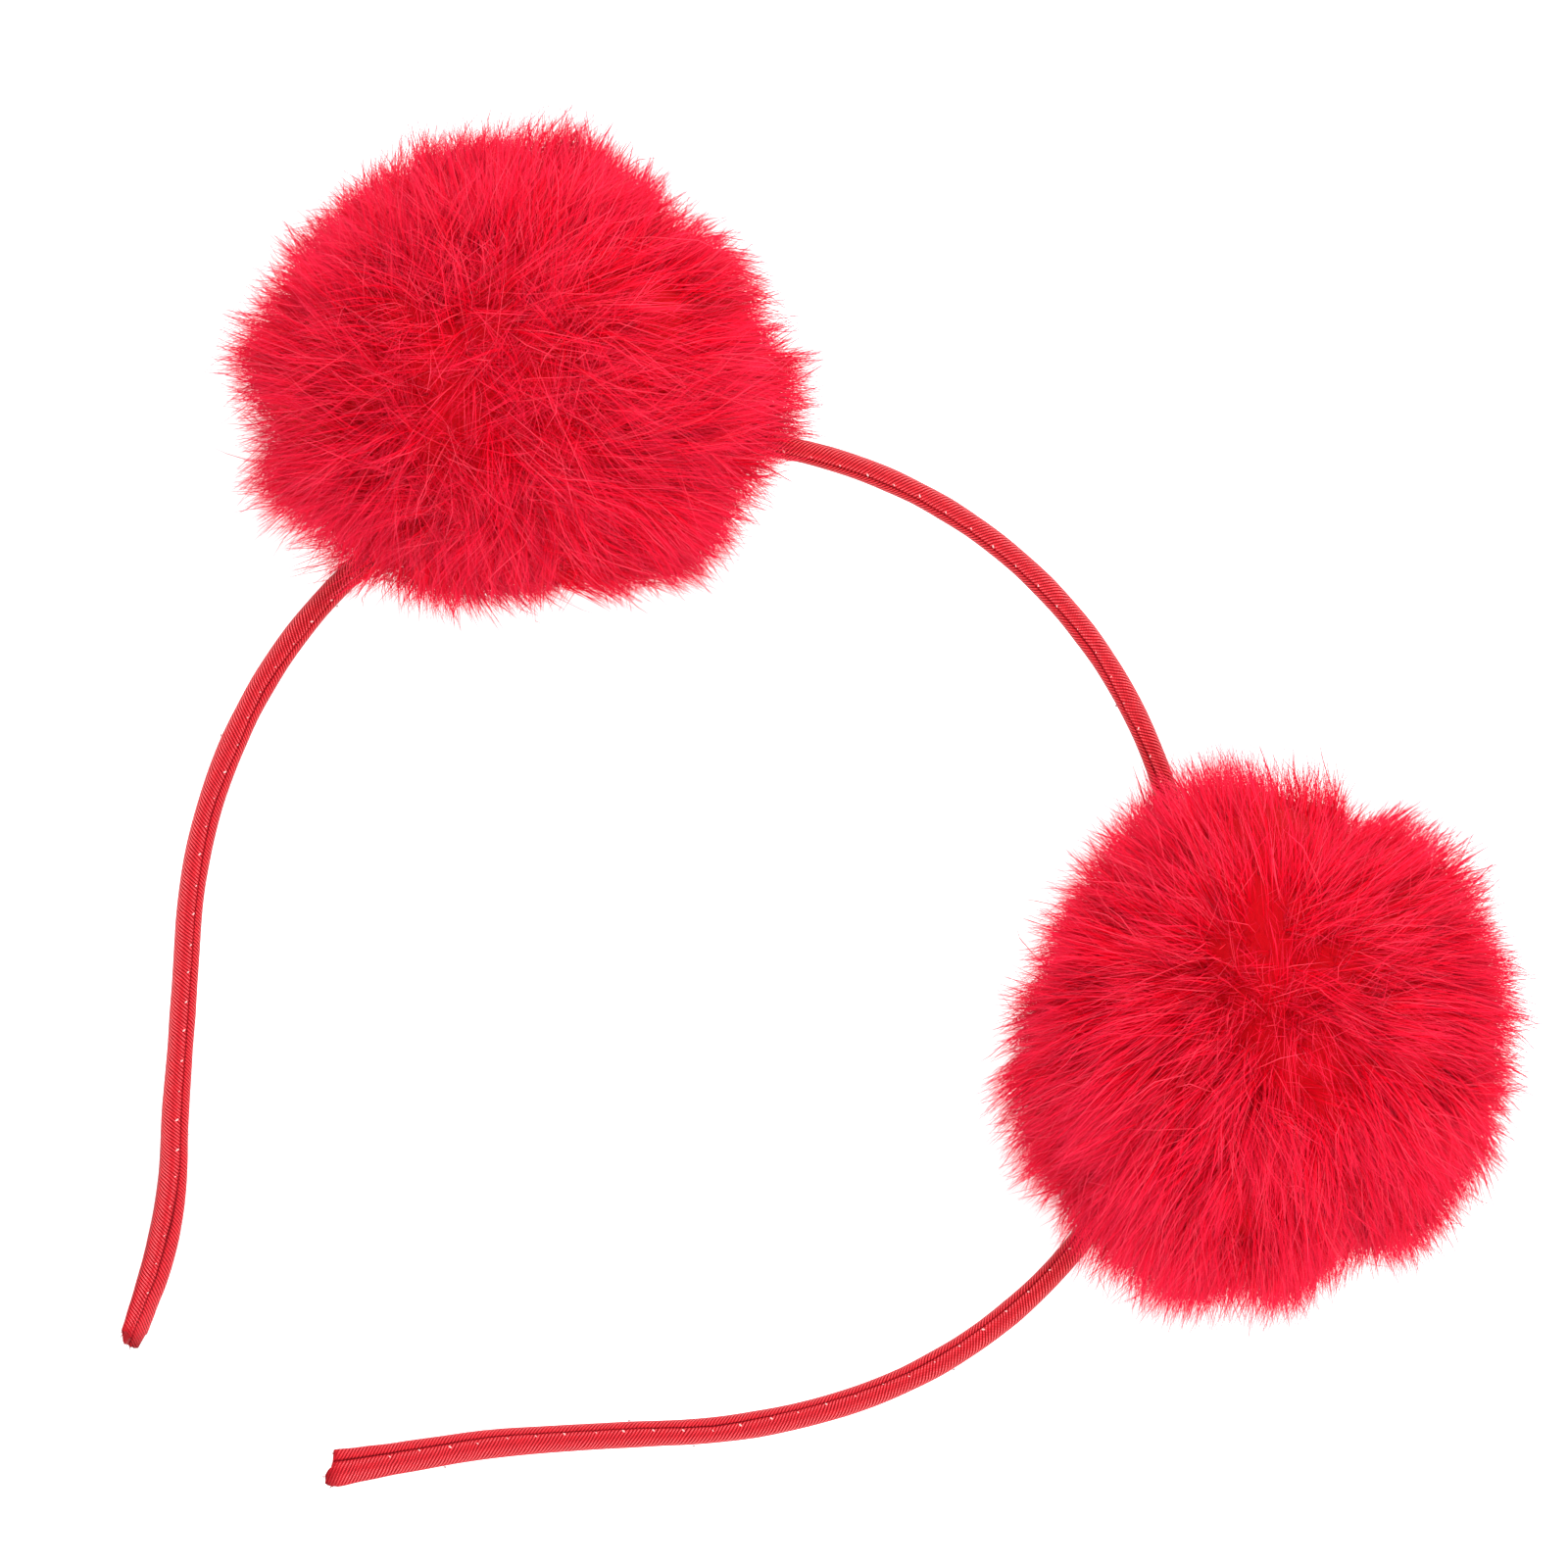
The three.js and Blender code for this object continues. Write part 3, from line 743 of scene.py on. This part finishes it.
def growCoat(pompom, rng):
    # where each wisp of hair grows, how it leans and how long it is: lobes hold tufts, and tufts hold wisps
    lobes = spread(*coat["lobes"], rng)
    tufts = spread(*coat["tufts"], rng)
    closeness = tufts @ lobes.T
    ranked = np.sort(closeness, axis=1)
    valley = bell(ranked[:, -1], ranked[:, -2], coat["valleyWidth"])
    whorl = unit(np.array(pompom["whorl"]) @ planeAxes)
    away = sideways(tufts, np.broadcast_to(-whorl, tufts.shape))
    away /= np.maximum(np.linalg.norm(away, axis=1, keepdims=True), pompom["whorlSoftness"])
    lean = away * coat["comb"] + (lobes[closeness.argmax(1)] - tufts) * coat["lobeGather"]
    lean += rng.normal(0, coat["tuftLean"] * pompom["mess"], tufts.shape)
    length = rng.normal(1, coat["tuftLength"], len(tufts)) - coat["lobeValley"] * valley
    wisps = spread(*coat["wisps"], rng)
    owner = np.argmax(wisps @ tufts.T, axis=1)
    fromWhorl = np.arccos(np.clip(wisps @ whorl, -1, 1))
    mess = coat["wispLean"] + pompom["whorlMess"] * bell(fromWhorl, 0, pompom["whorlSpan"])
    wispLean = lean[owner] + (tufts[owner] - wisps) * coat["tuftGather"]
    wispLean += rng.normal(0, 1, wisps.shape) * mess[:, None]
    luck = rng.uniform(0, 1, len(wisps)) ** coat["fewLong"]
    return {
        "wisps": wisps,
        "lean": wispLean,
        "length": length[owner] * np.interp(luck, [0, 1], coat["wispLength"]),
        "tuftTone": rng.uniform(0, 1, len(tufts))[owner],
    }


def hairPaths(start, lean, share, t, outline):
    direction = unit(start[:, None] + sideways(start, lean)[:, None] * t ** coat["leansLate"])
    base = fur["rootShare"] * fur["radius"]
    tip = (furReach(direction[:, -1], outline) * share)[:, None, None]
    return direction * (base + (tip - base) * t)


def growStrands(pompom, grown, layer, rng):
    # each strand starts beside its wisp's root and closes up with the wisp towards the tip
    t = np.linspace(0, 1, layer["segments"] + 1)[None, :, None]
    wisps = grown["wisps"]
    pick = np.sort(rng.integers(0, len(wisps), layer["strands"]))
    root = unit(wisps[pick] + rng.normal(0, coat["rootScatter"] / math.sqrt(len(wisps)), (len(pick), 3)))
    lean = grown["lean"][pick] + rng.normal(0, layer["stray"], root.shape)
    length = grown["length"][pick] * rng.uniform(*layer["length"], len(pick))
    own = hairPaths(root, lean, length, t, pompom["outline"])
    shared = hairPaths(wisps, grown["lean"], grown["length"], t, pompom["outline"])[pick]
    points = own + (shared - own) * layer["close"] * t ** coat["closesLate"]
    points += rng.normal(0, layer["crimp"], points.shape) * np.sqrt(t)  # each hair is a little crimped
    fromAxis = np.linalg.norm(points[..., :2], axis=-1) / fur["radius"]
    points[..., 2] -= coat["sag"] * t[..., 0] ** 2 * fromAxis
    # place along the hair, how much painted highlight the hair takes, and its tuft's tone
    tone = np.stack([
        np.broadcast_to(t[..., 0], points.shape[:2]),
        np.broadcast_to(rng.uniform(*layer["pale"], (len(pick), 1)), points.shape[:2]),
        np.broadcast_to(grown["tuftTone"][pick][:, None], points.shape[:2]),
        np.ones(points.shape[:2]),
    ], -1)
    return points, tone


def pressOnFloor(points, centre, rng):
    # fur that would go through the surface lies down on it and spreads outwards
    row = points + centre
    lowest = rng.uniform(*coat["floorLayer"], (len(row), 1))
    below = np.maximum(lowest - row[..., 2], 0)
    row = row + unit(points * np.array([1, 1, 0])) * (below * coat["floorSpread"])[..., None]
    row[..., 2] = np.maximum(row[..., 2], lowest)
    return row - centre


def perCorner(values):
    # one value a ring to one a corner: two corners on every ring but the tip's
    return np.concatenate([np.repeat(values[:, :-1], 2, axis=1), values[:, -1:]], 1)


hair = {
    "roll": 0.7,  # radians that a ribbon is turned about its length
    "widths": (0.7, 1.25),
    "taper": [(0, 1), (0.7, 1), (0.9, 0.8), (1, 0)],  # share of the length and share of the width
    "normalStray": 3,
    "normalAcross": 0.8,  # share of the normal's part along the hair that is taken out
}


def strandMesh(name, points, tone, centre, width, rng, material):
    # each strand is a flat ribbon that narrows to a point, with normals that face out of the fur
    count, rings = points.shape[:2]
    tangent = unit(np.gradient(points, axis=1))
    outward = unit(points + rng.normal(0, hair["normalStray"], (count, 1, 3)))
    flat = unit(np.cross(tangent, outward))
    roll = rng.normal(0, hair["roll"], (count, 1, 1))
    across = flat * np.cos(roll) + np.cross(flat, tangent) * np.sin(roll)
    taper = np.interp(np.linspace(0, 1, rings), *zip(*hair["taper"]))[None, :, None]
    half = across * taper * width / 2 * rng.uniform(*hair["widths"], (count, 1, 1))
    sides = np.stack([points - half, points + half], 2)[:, :-1].reshape(count, -1, 3)
    corners = np.concatenate([sides, points[:, -1:]], 1)
    each = corners.shape[1]
    pattern = [2 * ring + corner for ring in range(rings - 2) for corner in (0, 1, 3, 2)]
    pattern += [each - 3, each - 2, each - 1]
    order = (np.arange(count)[:, None] * each + np.array(pattern)).ravel()
    sizes = np.tile([4] * (rings - 2) + [3], count)
    piece = newPiece(name, corners.reshape(-1, 3) + centre, order, sizes, material, "fur")
    along = tangent * (outward * tangent).sum(-1, keepdims=True)
    normal = unit(outward - hair["normalAcross"] * along)
    setAttribute(piece, "outward", "FLOAT_VECTOR", perCorner(normal).reshape(-1, 3))
    setAttribute(piece, "tone", "FLOAT_COLOR", perCorner(tone).reshape(-1, 4))


def dyedFur():
    # dyed long-haired fur: fine, soft, slightly see-through hairs, deep red inside and pinker at the tips
    material, tree = newMaterial("dyed_fur")
    tone = addNode(tree, "Attribute", attribute_name="tone")
    parts = addNode(tree, "SeparateColor", {"Color": tone.outputs["Color"]})
    colour = addNode(tree, "ValToRGB", {"Fac": parts.outputs["Red"]})
    ramp = colour.color_ramp.elements
    ramp[0].color, ramp[0].position = toLinear("#DE0014"), 0
    ramp[1].color, ramp[1].position = toLinear("#FF3056"), 1
    middle = ramp.new(0.6)
    middle.color = toLinear("#EE0223")
    # painted highlight: some hairs are painted paler and brighter, as if they catch the light, and more of
    # the loose ones than of the others
    hairGlint = addNode(tree, "MapRange", {
        "Value": parts.outputs["Green"], "From Min": 0.72, "From Max": 1, "To Min": 0, "To Max": 0.38,
    })
    withGlint = addNode(tree, "MixRGB", {
        "Fac": hairGlint.outputs["Result"], "Color1": colour.outputs["Color"], "Color2": toLinear("#FF6A80"),
    })
    glintBrightness = addNode(tree, "MapRange", {"Value": parts.outputs["Green"], "To Min": 0.85, "To Max": 1.02})
    varied = addNode(tree, "HueSaturation", {
        "Color": withGlint.outputs["Color"], "Value": glintBrightness.outputs["Result"],
    })
    outward = addNode(tree, "Attribute", attribute_name="outward")
    surface = addNode(tree, "BsdfPrincipled", {
        "Base Color": varied.outputs["Color"],
        "Roughness": 0.5,
        "IOR": 1.5,
        "Specular IOR Level": 0.02,
        "Normal": outward.outputs["Vector"],
    })
    through = addNode(tree, "BsdfTranslucent", {"Color": varied.outputs["Color"]})
    both = addNode(tree, "MixShader", {
        "Fac": 0.33, 1: surface.outputs["BSDF"], 2: through.outputs["BSDF"],
    })
    finishMaterial(tree, both.outputs["Shader"])
    return material


core = {
    "share": 0.77,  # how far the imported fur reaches, as a share of the outline
    "lumps": (160, 1),  # how many, and how unevenly they are spread
    "lumpEdge": 0.985,  # cosine of the angle at which a lump ends
    "lumpReach": (-0.02, 0.025),
    "aboveFloor": 0.3,
    "boxSide": 56.7,  # the noise runs from 0 to 1 in the ball's own box
    "feltedHair": 0.063,
}


def underfur():
    # packed short fur below the long hair: dull, felted and deep red
    material, tree = newMaterial("packed_underfur")
    grain = addNode(tree, "TexNoise", {"Scale": core["boxSide"] / core["feltedHair"], "Detail": 4})
    colour = addNode(tree, "ValToRGB", {"Fac": grain.outputs["Fac"]})
    ramp = colour.color_ramp.elements
    ramp[0].color, ramp[0].position = toLinear("#CC0010"), 0.3
    ramp[1].color, ramp[1].position = toLinear("#E6001A"), 0.75
    bump = addNode(tree, "Bump", {"Height": grain.outputs["Fac"], "Strength": 0.8, "Distance": 0.0006})
    shader = addNode(tree, "BsdfPrincipled", {
        "Base Color": colour.outputs["Color"],
        "Roughness": 0.85,
        "Specular IOR Level": 0.1,
        "Normal": bump.outputs["Normal"],
    })
    finishMaterial(tree, shader.outputs["BSDF"])
    return material


def makeCore(pompom, centre, rng, material):
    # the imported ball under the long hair, lumpy and pressed flat where it lies
    bpy.ops.mesh.primitive_ico_sphere_add(subdivisions=4, radius=1)
    ball = bpy.context.object
    directions = unit(np.array([v.co for v in ball.data.vertices], float))
    faces = np.array([p.vertices[:] for p in ball.data.polygons])
    bpy.data.objects.remove(ball)
    nearest = (directions @ spread(*core["lumps"], rng).T).max(1)
    bumpy = np.interp(nearest, [core["lumpEdge"], 1], core["lumpReach"])
    reach = furReach(directions, pompom["outline"]) * (core["share"] + bumpy)
    row = directions * reach[:, None] + centre
    row[:, 2] = np.maximum(row[:, 2], core["aboveFloor"])
    piece = newPiece(pompom["name"] + "_core", row, faces.ravel(), np.full(len(faces), 3), material, "fur")
    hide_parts(pompom["name"])


furMaterial = dyedFur()
coreMaterial = underfur()
for pompom in pompoms:
    rng = np.random.default_rng(pompom["seed"])
    centre = pompomCentre(pompom)
    makeCore(pompom, centre, rng, coreMaterial)
    grown = growCoat(pompom, rng)
    for layer in layers:
        points, tone = growStrands(pompom, grown, layer, rng)
        points = pressOnFloor(points, centre, rng)
        name = f"{pompom['name']}_{layer['label']}"
        strandMesh(name, points, tone, centre, layer["width"], rng, furMaterial)
    print(pompom["name"], "grown")


# floor and light
stage = {
    "floorHalf": 3000,
    "glow": 0.35,
    "surroundings": 1.18,
    # name, place and width in metres, and watts
    "lights": [("key_light", (-0.6, 0.7, 1.3), 1, 18), ("fill_light", (0.9, -0.5, 1.1), 1.2, 13)],
}


def makeStage():
    # a sheet of white acrylic that glows a little from below, so that shadows stay faint
    material, tree = newMaterial("white_acrylic_light_table")
    shader = addNode(tree, "BsdfPrincipled", {
        "Base Color": toLinear("#F3F3F3"),
        "Roughness": 0.9,
        "Specular IOR Level": 0.2,
        "Emission Color": toLinear("#FFFFFF"),
        "Emission Strength": stage["glow"],
    })
    finishMaterial(tree, shader.outputs["BSDF"])
    corners = np.array([[-1, -1, 0], [1, -1, 0], [1, 1, 0], [-1, 1, 0]]) * stage["floorHalf"]
    newPiece("floor", corners, np.arange(4), np.array([4]), material)
    world = bpy.data.worlds.new("studio")
    world.use_nodes = True
    background = world.node_tree.nodes["Background"].inputs
    background["Color"].default_value = toLinear("#FFFFFF")
    background["Strength"].default_value = stage["surroundings"]
    scene.world = world
    for name, place, width, power in stage["lights"]:
        data = bpy.data.lights.new(name, "AREA")
        data.shape, data.size, data.energy = "DISK", width, power
        light = bpy.data.objects.new(name, data)
        light.location = place
        light.rotation_euler = (-Vector(place)).to_track_quat("-Z", "Y").to_euler()
        scene.collection.objects.link(light)
    scene.view_settings.view_transform = "Standard"


makeStage()
print("stage lit")
